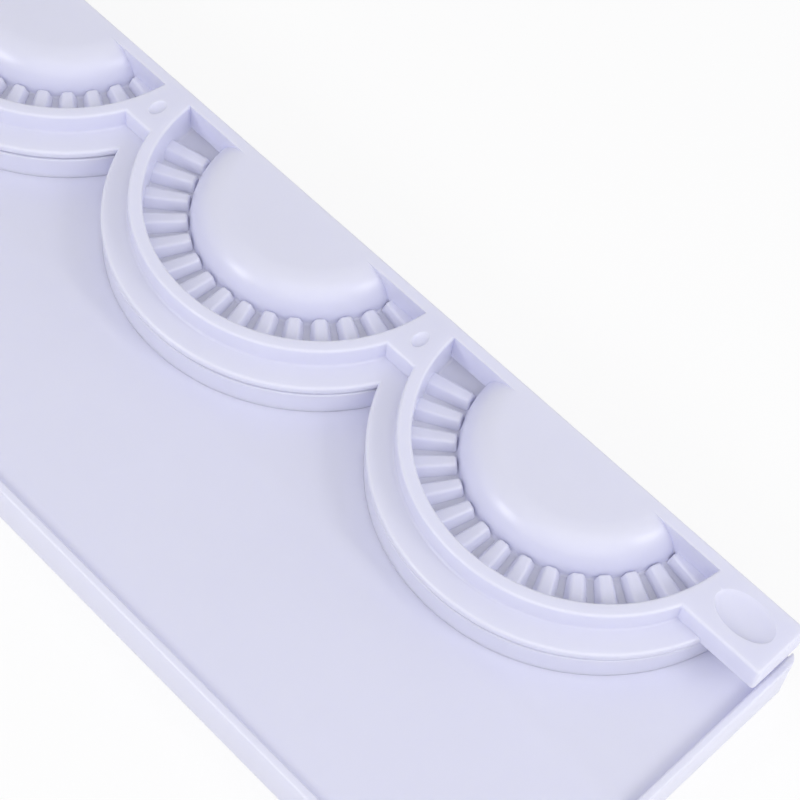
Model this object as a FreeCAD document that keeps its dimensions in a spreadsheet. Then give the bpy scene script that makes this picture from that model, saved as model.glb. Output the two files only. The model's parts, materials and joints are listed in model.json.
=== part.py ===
import FreeCAD, Part
import os
import re
import Sketcher

# Row dumpling press, moulded in white plastic, shown closed. The upper jaw carries a row of half domes, each
# inside a ribbed crimping groove, and folds down on a lower jaw with matching half bowls. Both jaws are drawn
# cell by cell, and the cells of a jaw meet face to face in the middle of the webs. The lower jaw is pegged
# into the recess of a wide board. Short steel pins at the webs and at both ends make the hinge.
#
# A cell is drawn with x = 0 on its own axis, and the board and the pins with x = 0 on the axis of the left
# cell. y = 0 is the straight edge of the jaws and z = 0 the table. Placements centre the press on the origin.

# Millimetres, apart from counts and degrees.
SIZES = (
    ("cell_count", "4", "half-moon cells in the row"),
    ("dome_base", "22.8", "radius of a dome at its foot"),
    ("roof_inset", "5.8", "edge of a dome's flat roof, in from its foot"),
    ("brow_inset", "2.2", "upper break of a dome's shoulder, in from its foot"),
    ("brow_drop", "1.6", "that break below the roof"),
    ("cheek_inset", "0.4", "lower break of the shoulder, in from the foot"),
    ("cheek_drop", "4.0", "that break below the roof"),
    ("hollow_ease", "1.3", "hollow of a dome beyond its flat roof"),
    ("groove_width", "8.6", "crimping groove between dome and rim"),
    ("rim_width", "2.6", "raised rim round a cell"),
    ("flange_width", "5.0", "flange outside the rim"),
    ("web_width", "7.2", "web between two grooves, on the straight edge"),
    ("wall", "1.6", "moulded wall of domes, floors and flanges"),
    ("upper_height", "5.9", "upper jaw above the parting plane"),
    ("floor_drop", "0.4", "groove floor below the parting plane"),
    ("spine_depth", "12.4", "webs and end tabs, front to back"),
    ("bar_width", "2.5", "straight bar along the hinge edge"),
    ("tab_reach", "17.3", "end tab beyond the last groove"),
    ("rib_count", "17", "pleats across one groove"),
    ("rib_width", "0.9", "pleat along its ridge"),
    ("rib_draft", "1.5", "widening of a pleat on each side, ridge to foot"),
    ("rib_height", "3.8", "pleat above the groove floor"),
    ("rib_channel", "2.0", "open channel between dome and ridges"),
    ("rib_root", "0.6", "pleat let into the rim and the floor"),
    ("dimple_depth", "0.7", "dent on top of each web"),
    ("dimple_size", "3.4", "that dent, along and across the web"),
    ("dimple_back", "7.0", "dent from the straight edge"),
    ("scoop_length", "12.6", "finger scoop on an end tab"),
    ("scoop_width", "6.8", "finger scoop, across"),
    ("scoop_depth", "0.9", "finger scoop, deep"),
    ("scoop_back", "6.0", "finger scoop from the straight edge"),
    ("lower_height", "5.9", "lower jaw from its foot to the parting plane"),
    ("lower_inset", "0.2", "lower jaw inside the flange above it"),
    ("lower_overhang", "5.0", "lower jaw beyond the last hinge"),
    ("jaw_gap", "0.4", "open gap between the closed jaws"),
    ("tooth_depth", "0.9", "notches between the crimping teeth"),
    ("tooth_space", "3.2", "width of a notch"),
    ("tooth_margin", "1.2", "smooth outer edge of the toothed rim"),
    ("notch_count", "12", "notches round one cell"),
    ("pin_radius", "1.0", "hinge pin"),
    ("pin_seat", "0.02", "pin clearance in the lower knuckle"),
    ("pin_fit", "0.05", "running clearance of the pin in the ears"),
    ("knuckle_radius", "2.2", "hinge knuckles and ears"),
    ("knuckle_width", "3.0", "knuckle on the lower jaw"),
    ("ear_width", "1.9", "each of the two ears on the upper jaw"),
    ("axis_offset", "0.6", "hinge axis behind the straight edge"),
    ("side_gap", "0.3", "free play beside and round the knuckles"),
    ("peg_length", "5.0", "pegs under the lower jaw, along the row"),
    ("peg_width", "3.0", "those pegs, across"),
    ("peg_fit", "0.1", "clearance of a peg in the board"),
    ("board_height", "9.0", "board top above the table"),
    ("recess_depth", "1.0", "recess for the jaws"),
    ("recess_margin", "1.6", "recess in front of the lower jaw"),
    ("apron_depth", "38.3", "board in front of the recess"),
    ("rear_margin", "0.8", "board behind the straight edge"),
    ("end_margin", "1.0", "board beyond the end tabs"),
    ("lip_width", "1.6", "lip round the board"),
    ("lip_height", "1.2", "lip above the board"),
    ("corner_round", "3.0", "upright corners of the board"),
    ("plate", "2.0", "board under the recess"),
    ("skirt", "2.0", "walls under the board"),
    ("stiffener_width", "1.4", "ribs under the board"),
    ("stiffener_lift", "1.0", "ribs clear of the table"),
)

# Sizes that follow from the ones above, as formulas of a second sheet.
LAYOUT = (
    ("dome_flat", "dome_base - roof_inset"),
    ("rim_inner", "dome_base + groove_width"),
    ("rim_outer", "rim_inner + rim_width"),
    ("flange_outer", "rim_outer + flange_width"),
    ("pitch", "2 * rim_inner + web_width"),
    ("row_length", "(cell_count - 1) * pitch"),
    ("foot", "board_height - recess_depth"),
    ("parting", "foot + lower_height"),
    ("top", "parting + upper_height"),
    ("flange_top", "parting + wall"),
    ("floor_top", "parting - floor_drop"),
    ("floor_under", "floor_top - wall"),
    ("roof_under", "top - wall"),
    ("dome_hollow_base", "dome_base - wall"),
    ("dome_hollow_flat", "dome_flat + hollow_ease"),
    ("band_outer", "rim_inner + rim_width / 2"),
    ("tab_end", "rim_inner + tab_reach"),
    ("rib_step", "180 / (rib_count + 1)"),
    ("rib_inner", "dome_base + rib_channel"),
    ("rib_outer", "rim_inner + rib_root"),
    ("first_rib", "270 - (rib_count - 1) / 2 * rib_step"),
    ("first_notch", "270 - (notch_count - 1) / 2 * rib_step"),
    ("crest", "parting - jaw_gap"),
    ("lower_outer", "flange_outer - lower_inset"),
    ("lower_end", "pitch / 2 + lower_overhang"),
    ("trough_floor", "floor_under - jaw_gap"),
    ("trough_outer", "band_outer + jaw_gap"),
    ("tooth_inner", "band_outer + wall"),
    ("bowl_floor", "foot + wall"),
    ("bowl_slant", "trough_floor - bowl_floor"),
    ("knuckle_half", "knuckle_width / 2"),
    ("ear_start", "knuckle_half + side_gap"),
    ("ear_end", "ear_start + ear_width"),
    ("sweep_radius", "knuckle_radius + side_gap"),
    ("notch_depth", "sweep_radius - axis_offset"),
    ("board_end", "tab_end + end_margin"),
    ("recess_front", "lower_outer + recess_margin"),
    ("board_front", "recess_front + apron_depth"),
    ("plate_under", "foot - plate"),
    ("bay_depth", "board_front + rear_margin - 2 * skirt"),
    ("stiffener_pitch", "pitch / 2"),
    ("shift_x", "-row_length / 2"),
    ("shift_y", "(board_front - axis_offset - knuckle_radius) / 2"),
)

doc = FreeCAD.newDocument("dumpling_press")
sheet_of = {}


def spelled(formula):
    """Put the sheet's name before each size in a formula."""
    return re.sub(r"[a-z]\w*", lambda word: sheet_of.get(word.group(), "") + word.group(), formula)


def make_sheet(name, rows):
    """Make a spreadsheet with one named cell per row of (alias, text, meaning)."""
    sheet = doc.addObject("Spreadsheet::Sheet", name)
    for row, (alias, text, meaning) in enumerate(rows, start=1):
        cell = f"B{row}"
        sheet.set(f"A{row}", alias)
        sheet.set(cell, text)
        sheet.set(f"C{row}", meaning)
        sheet.setAlias(cell, alias)
    doc.recompute()
    return sheet


sheet_of.update((row[0], "Sizes.") for row in SIZES)
sheet_of.update((row[0], "Layout.") for row in LAYOUT)
make_sheet("Sizes", SIZES)
layout = make_sheet("Layout", [(alias, "=" + spelled(formula), formula) for alias, formula in LAYOUT])


def number(formula):
    """The present value of a formula, in millimetres or degrees."""
    return float(layout.evalExpression(spelled(formula)))


def bind(thing, formulas):
    """Tie properties of an object to formulas of the sheets."""
    for name, formula in formulas.items():
        thing.setExpression(name, spelled(formula))


def new_body(label, place=0):
    """A body in the press, which is centred on the origin; place counts cells from the left."""
    body = doc.addObject("PartDesign::Body", label)
    body.Label = label
    bind(body, {"Placement.Base.x": f"shift_x + {place} * pitch", "Placement.Base.y": "shift_y"})
    return body


def origin(body, role):
    """One of a body's own axes or planes."""
    return next(item for item in body.Origin.OriginFeatures if item.Role == role)


def at(x, y, z):
    """Placement formulas of a feature's corner or centre."""
    return {"Placement.Base.x": x, "Placement.Base.y": y, "Placement.Base.z": z}


def box(body, kind, name, corner, length, width, height):
    """A box from its lowest corner; kind is Additive or Subtractive."""
    feature = body.newObject(f"PartDesign::{kind}Box", name)
    bind(feature, {"Length": length, "Width": width, "Height": height, **at(*corner)})
    return feature


def half_disc(body, kind, name, z, radius, height):
    """A half disc in front of the straight edge, on the cell's axis."""
    feature = body.newObject(f"PartDesign::{kind}Cylinder", name)
    feature.Angle = 180
    feature.Placement.Rotation = FreeCAD.Rotation(FreeCAD.Vector(0, 0, 1), 180)
    bind(feature, {"Radius": radius, "Height": height, **at("0", "0", z)})
    return feature


def spoke(body, kind, name, reach, rise, width, draft, place):
    """A radial bar of a cell, of a width at its top and widened by a draft at its foot.

    reach is (near, far) and rise is (foot, top) above the height in place, which is (height, direction).
    """
    (near, far), (foot, top), (height, turn) = reach, rise, place
    feature = body.newObject(f"PartDesign::{kind}Wedge", name)
    bind(feature, {
        "Xmin": f"{near} - {draft}", "Xmax": far, "X2min": near, "X2max": far,
        "Ymin": foot, "Ymax": top,
        "Zmin": f"-{width} / 2 - {draft}", "Zmax": f"{width} / 2 + {draft}",
        "Z2min": f"-{width} / 2", "Z2max": f"{width} / 2",
        "Placement": f"placement(vector(0; 0; {height}); rotation({turn}; 0; 90))",
    })
    return feature


def along_hinge(body, kind, name, start, radius, length):
    """A cylinder on the hinge axis, from the distance start along the row."""
    feature = body.newObject(f"PartDesign::{kind}Cylinder", name)
    feature.Placement.Rotation = FreeCAD.Rotation(FreeCAD.Vector(0, 1, 0), 90)
    bind(feature, {"Radius": radius, "Height": length, **at(start, "axis_offset", "parting")})
    return feature


def hinge_notch(body, name, start, length):
    """A square notch round the hinge axis, wide enough for what turns in it."""
    return box(body, "Subtractive", name, (start, "-notch_depth", "parting - sweep_radius"),
               length, "notch_depth + wall", "2 * sweep_radius")


def dent(body, name, middle, length, width, depth):
    """A shallow round-bottomed trough in the top, lying along the row."""
    radius = f"({depth} / 2 + {width}^2 / (8 * {depth}))"
    feature = body.newObject("PartDesign::SubtractiveCylinder", name)
    feature.Placement.Rotation = FreeCAD.Rotation(FreeCAD.Vector(0, 1, 0), 90)
    bind(feature, {"Radius": radius, "Height": length})
    bind(feature, at(f"{middle[0]} - {length} / 2", middle[1], f"top - {depth} + {radius}"))
    return feature


def in_row(body, feature, count, step):
    """Repeat a feature along the row."""
    pattern = body.newObject("PartDesign::LinearPattern", feature.Name + "_row")
    pattern.Originals = [feature]
    pattern.Direction = (origin(body, "X_Axis"), [""])
    bind(pattern, {"Length": f"({count} - 1) * {step}", "Occurrences": count})
    body.Tip = pattern
    doc.recompute()


def in_fan(body, feature, count):
    """Repeat a spoke round the cell, a rib's step apart."""
    pattern = body.newObject("PartDesign::PolarPattern", feature.Name + "_fan")
    pattern.Originals = [feature]
    pattern.Axis = (origin(body, "Z_Axis"), [""])
    bind(pattern, {"Angle": f"({count} - 1) * rib_step", "Occurrences": count})
    body.Tip = pattern
    doc.recompute()


def section(body, name, outline):
    """Closed half section in the plane x, z, with straight runs between its (x, z) corners."""
    sketch = body.newObject("Sketcher::SketchObject", name)
    sketch.AttachmentSupport = [(origin(body, "XZ_Plane"), "")]
    sketch.MapMode = "FlatFace"
    corners = [FreeCAD.Vector(number(x), number(z), 0) for x, z in outline]
    for start, end in zip(corners, corners[1:] + corners[:1]):
        sketch.addGeometry(Part.LineSegment(start, end), False)
    for index, (x, z) in enumerate(outline):
        before = index - 1 if index else len(outline) - 1
        sketch.addConstraint(Sketcher.Constraint("Coincident", before, 2, index, 1))
        for kind, formula, axis in (("DistanceX", x, -2), ("DistanceY", z, -1)):
            if formula == "0":
                sketch.addConstraint(Sketcher.Constraint("PointOnObject", index, 1, axis))
            else:
                place = sketch.addConstraint(Sketcher.Constraint(kind, -1, 1, index, 1, number(formula)))
                bind(sketch, {f"Constraints[{place}]": formula})
    return sketch


def half_turn(body, kind, name, outline):
    """Turn a section half round the cell's axis; kind is Revolution or Groove."""
    sketch = section(body, name + "_section", outline)
    feature = body.newObject("PartDesign::" + kind, name)
    feature.Profile = sketch
    feature.ReferenceAxis = (sketch, ["V_Axis"])
    feature.Angle = 180
    feature.Reversed = True
    doc.recompute()
    return feature


class Side:
    """One end of a cell, with a hinge; at an end of the row a tab reaches past that hinge."""

    def __init__(self, name, at_row_end):
        self.name = name
        self.hinge = "-pitch / 2" if name == "left" else "pitch / 2"
        self.at_row_end = at_row_end
        self.inward = "right" if name == "left" else "left"

    def bearings(self, left_start, right_start):
        """Names and starts of what stands on one or both flanks of this end's hinge."""
        starts = {"left": left_start, "right": right_start}
        flanks = ("left", "right") if self.at_row_end else (self.inward,)
        return [(f"{self.name}_{flank}", f"{self.hinge} + {starts[flank]}") for flank in flanks]


def sides(place):
    """Left and right end of the cell at a place in the row."""
    last = int(number("cell_count")) - 1
    return Side("left", place == 0), Side("right", place == last)


def trim_webs(body, ends, reach, low, height):
    """Cut off what lies past the middle of a web, where the next cell begins."""
    for side in ends:
        if not side.at_row_end:
            start = f"-pitch / 2 - {reach}" if side.name == "left" else "pitch / 2"
            box(body, "Subtractive", f"{side.name}_trim", (start, f"-{reach}", low),
                reach, f"{reach} + wall", height)


def hinge_holes(body, ends, fit):
    """Bore both hinges of a cell for their pins."""
    for side in ends:
        along_hinge(body, "Subtractive", f"{side.name}_pin_hole", f"{side.hinge} - ear_end - side_gap",
                    f"pin_radius + {fit}", "2 * (ear_end + side_gap)")


def make_upper_cell(place):
    """A cell of the upper jaw: dome, ribbed groove, rim, flange, webs or end tab, and hinge ears."""
    body = new_body(f"upper_cell_{place + 1}", place)
    left, right = ends = sides(place)
    half_turn(body, "Revolution", "flange", [
        ("rim_inner", "parting"),
        ("flange_outer", "parting"),
        ("flange_outer", "flange_top"),
        ("rim_inner", "flange_top"),
    ])
    trim_webs(body, ends, "flange_outer", "parting", "upper_height")
    low = "tab_end" if left.at_row_end else "pitch / 2"
    high = "tab_end" if right.at_row_end else "pitch / 2"
    box(body, "Additive", "spine", (f"-{low}", "-spine_depth", "parting"),
        f"{low} + {high}", "spine_depth", "upper_height")
    half_disc(body, "Subtractive", "clearing", "parting - wall", "band_outer", "upper_height + 2 * wall")
    box(body, "Additive", "straight_bar", (f"-{low}", "-bar_width", "parting"),
        f"{low} + {high}", "bar_width", "upper_height")
    half_disc(body, "Subtractive", "fold_arch", "parting - wall", "dome_flat", "upper_height + wall / 2")
    for side in ends:
        if side.at_row_end:
            middle = "rim_inner + tab_reach / 2"
            scoop_at = f"-({middle})" if side.name == "left" else middle
            dent(body, f"{side.name}_scoop", (scoop_at, "-scoop_back"),
                 "scoop_length", "scoop_width", "scoop_depth")
        else:
            dent(body, f"{side.name}_dimple", (side.hinge, "-dimple_back"),
                 "dimple_size", "dimple_size", "dimple_depth")
    half_turn(body, "Revolution", "cup", [
        ("0", "top"),
        ("0", "roof_under"),
        ("dome_hollow_flat", "roof_under"),
        ("dome_hollow_base", "floor_under"),
        ("band_outer", "floor_under"),
        ("band_outer", "parting"),
        ("rim_outer", "parting"),
        ("rim_outer", "top"),
        ("rim_inner", "top"),
        ("rim_inner", "floor_top"),
        ("dome_base", "floor_top"),
        ("dome_base - cheek_inset", "top - cheek_drop"),
        ("dome_base - brow_inset", "top - brow_drop"),
        ("dome_flat", "top"),
    ])
    for side in ends:
        hinge_notch(body, f"{side.name}_knuckle_notch", f"{side.hinge} - ear_start", "2 * ear_start")
        for name, start in side.bearings("-ear_end", "ear_start"):
            along_hinge(body, "Additive", f"{name}_ear", start, "knuckle_radius", "ear_width")
    hinge_holes(body, ends, "pin_fit")
    rib = spoke(body, "Additive", "rib", ("rib_inner", "rib_outer"), ("-rib_root", "rib_height"),
                "rib_width", "rib_draft", ("floor_top", "first_rib"))
    in_fan(body, rib, "rib_count")
    return body


def make_lower_cell(place):
    """A cell of the lower jaw: half bowl, crimping trough, toothed rim, hinge knuckles and peg."""
    body = new_body(f"lower_cell_{place + 1}", place)
    left, right = ends = sides(place)
    half_disc(body, "Additive", "platform", "foot", "lower_outer", "crest - foot")
    trim_webs(body, ends, "lower_outer", "foot", "lower_height")
    low = "lower_end" if left.at_row_end else "pitch / 2"
    high = "lower_end" if right.at_row_end else "pitch / 2"
    box(body, "Additive", "spine", (f"-{low}", "-spine_depth", "foot"),
        f"{low} + {high}", "spine_depth", "crest - foot")
    for side in ends:
        for name, start in side.bearings("-ear_end - side_gap", "knuckle_half"):
            hinge_notch(body, f"{name}_ear_notch", start, "ear_width + 2 * side_gap")
        start = side.hinge if side.name == "left" and not side.at_row_end else f"{side.hinge} - knuckle_half"
        width = "knuckle_width" if side.at_row_end else "knuckle_half"
        along_hinge(body, "Additive", f"{side.name}_knuckle", start, "knuckle_radius", width)
    hinge_holes(body, ends, "pin_seat")
    box(body, "Additive", "peg", ("-peg_length / 2", "-(spine_depth + peg_width) / 2", "plate_under"),
        "peg_length", "peg_width", "plate")
    half_turn(body, "Groove", "bowl", [
        ("0", "bowl_floor"),
        ("dome_hollow_base - bowl_slant", "bowl_floor"),
        ("dome_hollow_base", "trough_floor"),
        ("trough_outer", "trough_floor"),
        ("trough_outer", "parting"),
        ("0", "parting"),
    ])
    notch = spoke(body, "Subtractive", "tooth_notch", ("tooth_inner", "lower_outer - tooth_margin"),
                  ("-tooth_depth", "jaw_gap"), "tooth_space", "0", ("crest", "first_notch"))
    in_fan(body, notch, "notch_count")
    return body


def make_base_board():
    """Board with a lip on three sides, a recess for the jaws, a skirt and stiffening ribs."""
    body = new_body("base_board")
    length = "(row_length + 2 * board_end)"
    box(body, "Additive", "slab", ("-board_end", "-board_front", "0"),
        length, "board_front + rear_margin", "board_height + lip_height")
    doc.recompute()
    corners = body.newObject("PartDesign::Fillet", "corners")
    slab_edges = body.getObject("slab").Shape.Edges
    upright_edges = [
        f"Edge{place}" for place, edge in enumerate(slab_edges, start=1)
        if abs(edge.tangentAt(edge.FirstParameter).z) > 0.99]
    corners.Base = (body.getObject("slab"), upright_edges)
    bind(corners, {"Radius": "corner_round"})
    box(body, "Subtractive", "well", ("-board_end + lip_width", "-board_front + lip_width", "board_height"),
        f"{length} - 2 * lip_width", "board_front + rear_margin", "lip_height + wall")
    box(body, "Subtractive", "recess", ("-board_end + lip_width", "-recess_front", "foot"),
        f"{length} - 2 * lip_width", "recess_front + rear_margin + wall", "board_height")
    box(body, "Subtractive", "underside", ("-board_end + skirt", "-board_front + skirt", "-wall"),
        f"{length} - 2 * skirt", "bay_depth", "plate_under + wall")
    rib = box(body, "Additive", "cross_rib",
              ("-pitch / 4 - stiffener_width / 2", "-board_front + skirt / 2", "stiffener_lift"),
              "stiffener_width", "bay_depth + skirt", "plate_under - stiffener_lift + plate / 2")
    in_row(body, rib, "2 * cell_count", "stiffener_pitch")
    box(body, "Additive", "long_rib",
        ("-board_end + skirt / 2", "-board_front + skirt + bay_depth / 2", "stiffener_lift"),
        f"{length} - skirt", "stiffener_width", "plate_under - stiffener_lift + plate / 2")
    hole = box(body, "Subtractive", "peg_hole",
               ("-peg_length / 2 - peg_fit", "-(spine_depth + peg_width) / 2 - peg_fit", "0"),
               "peg_length + 2 * peg_fit", "peg_width + 2 * peg_fit", "board_height")
    in_row(body, hole, "cell_count", "pitch")
    return body


def make_hinge_pin(place):
    """One steel pin on the hinge axis; place counts from the left end."""
    body = new_body(f"hinge_pin_{place + 1}")
    start = f"({place} - 1 / 2) * pitch - ear_end"
    along_hinge(body, "Additive", "shank", start, "pin_radius", "2 * ear_end")
    return body


def check(pieces):
    """Stop unless every object is up to date and every piece is one valid solid."""
    doc.recompute()
    for item in doc.Objects:
        if "Invalid" in item.State or "Error" in item.State:
            raise RuntimeError(f"{item.Label} failed: {item.State}")
    for piece in pieces:
        shape = piece.Shape
        if shape.isNull() or not shape.isValid() or len(shape.Solids) != 1:
            raise RuntimeError(f"{piece.Label} isn't one valid solid")
        print(f"{piece.Label}: {shape.Volume:.1f} mm3, {len(shape.Faces)} faces")


cell_places = range(int(number("cell_count")))
pieces = [make_base_board()]
pieces += [make_lower_cell(place) for place in cell_places]
pieces += [make_upper_cell(place) for place in cell_places]
pieces += [make_hinge_pin(place) for place in range(len(cell_places) + 1)]
check(pieces)
os.makedirs("parts", exist_ok=True)
for piece in pieces:
    piece.Shape.exportStep(f"parts/{piece.Label}.step")
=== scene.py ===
"""Row dumpling press of white moulded plastic, closed, on a pale table in soft studio light."""
import json
import logging
import math
from contextlib import contextmanager
from dataclasses import dataclass, field
from enum import Enum
from typing import Callable, ClassVar, Iterator, Sequence

import bmesh
import bpy
from mathutils import Matrix, Vector


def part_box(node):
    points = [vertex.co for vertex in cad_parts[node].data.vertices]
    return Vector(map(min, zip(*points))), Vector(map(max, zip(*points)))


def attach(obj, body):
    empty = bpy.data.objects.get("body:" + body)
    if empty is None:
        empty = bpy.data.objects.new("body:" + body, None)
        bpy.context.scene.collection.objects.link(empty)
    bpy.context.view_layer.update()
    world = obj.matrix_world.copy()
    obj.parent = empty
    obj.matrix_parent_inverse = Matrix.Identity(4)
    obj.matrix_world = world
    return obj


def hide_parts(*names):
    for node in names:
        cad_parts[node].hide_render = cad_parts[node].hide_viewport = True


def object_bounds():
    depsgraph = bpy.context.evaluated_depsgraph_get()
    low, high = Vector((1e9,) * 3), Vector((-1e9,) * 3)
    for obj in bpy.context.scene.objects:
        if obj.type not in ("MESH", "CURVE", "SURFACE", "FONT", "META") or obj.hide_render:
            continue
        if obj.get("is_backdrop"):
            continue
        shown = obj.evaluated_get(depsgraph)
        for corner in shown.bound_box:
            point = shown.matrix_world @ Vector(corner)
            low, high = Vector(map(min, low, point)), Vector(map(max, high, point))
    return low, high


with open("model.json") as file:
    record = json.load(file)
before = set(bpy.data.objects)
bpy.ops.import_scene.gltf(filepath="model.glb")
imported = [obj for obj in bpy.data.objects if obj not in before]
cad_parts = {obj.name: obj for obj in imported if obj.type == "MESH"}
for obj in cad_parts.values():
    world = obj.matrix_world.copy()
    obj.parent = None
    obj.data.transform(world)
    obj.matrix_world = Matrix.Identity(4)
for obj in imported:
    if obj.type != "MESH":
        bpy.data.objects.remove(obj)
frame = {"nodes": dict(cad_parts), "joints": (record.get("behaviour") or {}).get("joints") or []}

LOG = logging.getLogger("dumpling_press")
MM = 0.001
WELD = 0.002 * MM
ALONG = 0.99
ROD_SIDES, DRUM_SIDES = 48, 144
PEBBLE_SEGMENTS, PEBBLE_RINGS = 96, 64
Pair = tuple[float, float]
Triple = tuple[float, float, float]


class Selection(Enum):
    """What is selected when a mesh is opened."""

    NONE = "DESELECT"
    ALL = "SELECT"


class Fusing(Enum):
    """How one mesh changes another."""

    ADD = "UNION"
    CUT = "DIFFERENCE"


class Side(Enum):
    """Ends of the row, as signs along X."""

    LEFT = -1
    RIGHT = 1


def select_only(obj: bpy.types.Object) -> None:
    """Select one object and make it the active one.

    Args:
        obj: the object.
    """
    bpy.ops.object.select_all(action="DESELECT")
    obj.select_set(True)
    bpy.context.view_layer.objects.active = obj


@contextmanager
def editing(obj: bpy.types.Object, start: Selection = Selection.NONE) -> Iterator[bmesh.types.BMesh]:
    """Open a mesh in edit mode.

    Args:
        obj: the mesh object to shape.
        start: what is selected at first.

    Yields:
        The edit mesh, for choosing what is selected.
    """
    select_only(obj)
    bpy.ops.object.mode_set(mode="EDIT")
    bpy.ops.mesh.select_mode(type="EDGE")
    bpy.ops.mesh.select_all(action=start.value)
    yield bmesh.from_edit_mesh(obj.data)
    bpy.ops.object.mode_set(mode="OBJECT")


def pick_edges(mesh: bmesh.types.BMesh, wanted: Callable[[Vector, Vector], bool]) -> None:
    """Select the edges whose middle and direction suit.

    Args:
        mesh: edit mesh.
        wanted: takes an edge's middle and its unit direction.
    """
    for edge in mesh.edges:
        first, last = edge.verts
        if wanted((first.co + last.co) / 2, (last.co - first.co).normalized()):
            edge.select_set(True)
    mesh.select_flush_mode()


def round_off(width: float, segments: int) -> None:
    """Round the edges that are selected in edit mode."""
    bpy.ops.mesh.bevel(offset=width, segments=segments, profile=0.5, affect="EDGES")


def settle(obj: bpy.types.Object) -> None:
    """Put an object's place, turn and scale into its mesh."""
    select_only(obj)
    bpy.ops.object.transform_apply(location=True, rotation=True, scale=True)


def block(name: str, low: Sequence[float], high: Sequence[float]) -> bpy.types.Object:
    """Add a box between two corners.

    Args:
        name: object name.
        low: lowest corner.
        high: highest corner.

    Returns:
        The box, with its place in its mesh.
    """
    middle = [(a + b) / 2 for a, b in zip(low, high)]
    bpy.ops.mesh.primitive_cube_add(size=1, location=middle)
    obj = bpy.context.object
    obj.name = name
    obj.scale = [b - a for a, b in zip(low, high)]
    settle(obj)
    return obj


def rod(name: str, start: float, end: float, centre: Pair, radius: float) -> bpy.types.Object:
    """Add a round bar along X.

    Args:
        name: object name.
        start: its low end along X.
        end: its high end along X.
        centre: (y, z) of its axis.
        radius: its radius.

    Returns:
        The bar, with its place in its mesh.
    """
    bpy.ops.mesh.primitive_cylinder_add(
        vertices=ROD_SIDES, radius=radius, depth=end - start,
        location=((start + end) / 2, *centre), rotation=(0, math.pi / 2, 0))
    obj = bpy.context.object
    obj.name = name
    settle(obj)
    return obj


def drum(name: str, centre: Pair, radius: float, low: float, high: float) -> bpy.types.Object:
    """Add an upright cylinder.

    Args:
        name: object name.
        centre: (x, y) of its axis.
        radius: its radius.
        low: height of its foot.
        high: height of its top.

    Returns:
        The cylinder, with its place in its mesh.
    """
    bpy.ops.mesh.primitive_cylinder_add(
        vertices=DRUM_SIDES, radius=radius, depth=high - low, location=(*centre, (low + high) / 2))
    obj = bpy.context.object
    obj.name = name
    settle(obj)
    return obj


def pebble(name: str, centre: Sequence[float], radii: Sequence[float], tilt: float) -> bpy.types.Object:
    """Add an ellipsoid, used to press a dent.

    Args:
        name: object name.
        centre: its middle.
        radii: its half sizes along X, Y and Z.
        tilt: its turn about X.

    Returns:
        The ellipsoid, with its place in its mesh.
    """
    bpy.ops.mesh.primitive_uv_sphere_add(
        segments=PEBBLE_SEGMENTS, ring_count=PEBBLE_RINGS, radius=1, location=centre, rotation=(tilt, 0, 0))
    obj = bpy.context.object
    obj.name = name
    obj.scale = radii
    settle(obj)
    return obj


def copied(obj: bpy.types.Object, move: Matrix) -> bpy.types.Object:
    """Copy an object with a mesh of its own.

    Args:
        obj: what is copied.
        move: where the copy's mesh goes.

    Returns:
        The copy.
    """
    twin = obj.copy()
    twin.data = obj.data.copy()
    twin.data.transform(move)
    bpy.context.scene.collection.objects.link(twin)
    return twin


def joined(objects: Sequence[bpy.types.Object]) -> bpy.types.Object:
    """Join meshes that don't touch into the first of them.

    Args:
        objects: the meshes.

    Returns:
        The first object, with all of them in its mesh.
    """
    select_only(objects[0])
    for obj in objects[1:]:
        obj.select_set(True)
    bpy.ops.object.join()
    return objects[0]


def work(target: bpy.types.Object, tool: bpy.types.Object, how: Fusing) -> None:
    """Fuse a mesh with another, or cut it with the other, which is used up.

    Args:
        target: the mesh that stays.
        tool: the mesh that is added or cut away.
        how: add or cut.
    """
    modifier = target.modifiers.new("work", "BOOLEAN")
    modifier.operation = how.value
    modifier.solver = "EXACT"
    modifier.object = tool
    select_only(target)
    bpy.ops.object.modifier_apply(modifier=modifier.name)
    bpy.data.objects.remove(tool)


def soften(obj: bpy.types.Object, width: float, sharper_than: float = 50.0, segments: int = 3) -> None:
    """Round every edge that is sharper than an angle.

    Args:
        obj: the mesh to round.
        width: width of the rounding.
        sharper_than: least angle between the faces, in degrees.
        segments: facets across a rounding.
    """
    modifier = obj.modifiers.new("soften", "BEVEL")
    modifier.width = width
    modifier.segments = segments
    modifier.limit_method = "ANGLE"
    modifier.angle_limit = math.radians(sharper_than)
    modifier.use_clamp_overlap = False
    modifier.miter_outer = "MITER_ARC"
    select_only(obj)
    bpy.ops.object.modifier_apply(modifier=modifier.name)


def smooth(obj: bpy.types.Object, below: float = 35.0) -> None:
    """Merge doubles, shade smooth below an angle and keep flat faces flat.

    Args:
        obj: the mesh to finish.
        below: edges sharper than this, in degrees, stay sharp.
    """
    with editing(obj, Selection.ALL):
        bpy.ops.mesh.remove_doubles(threshold=WELD)
    select_only(obj)
    bpy.ops.object.shade_smooth_by_angle(angle=math.radians(below))
    modifier = obj.modifiers.new("flats", "WEIGHTED_NORMAL")
    modifier.keep_sharp = True
    bpy.ops.object.modifier_apply(modifier=modifier.name)


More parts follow.
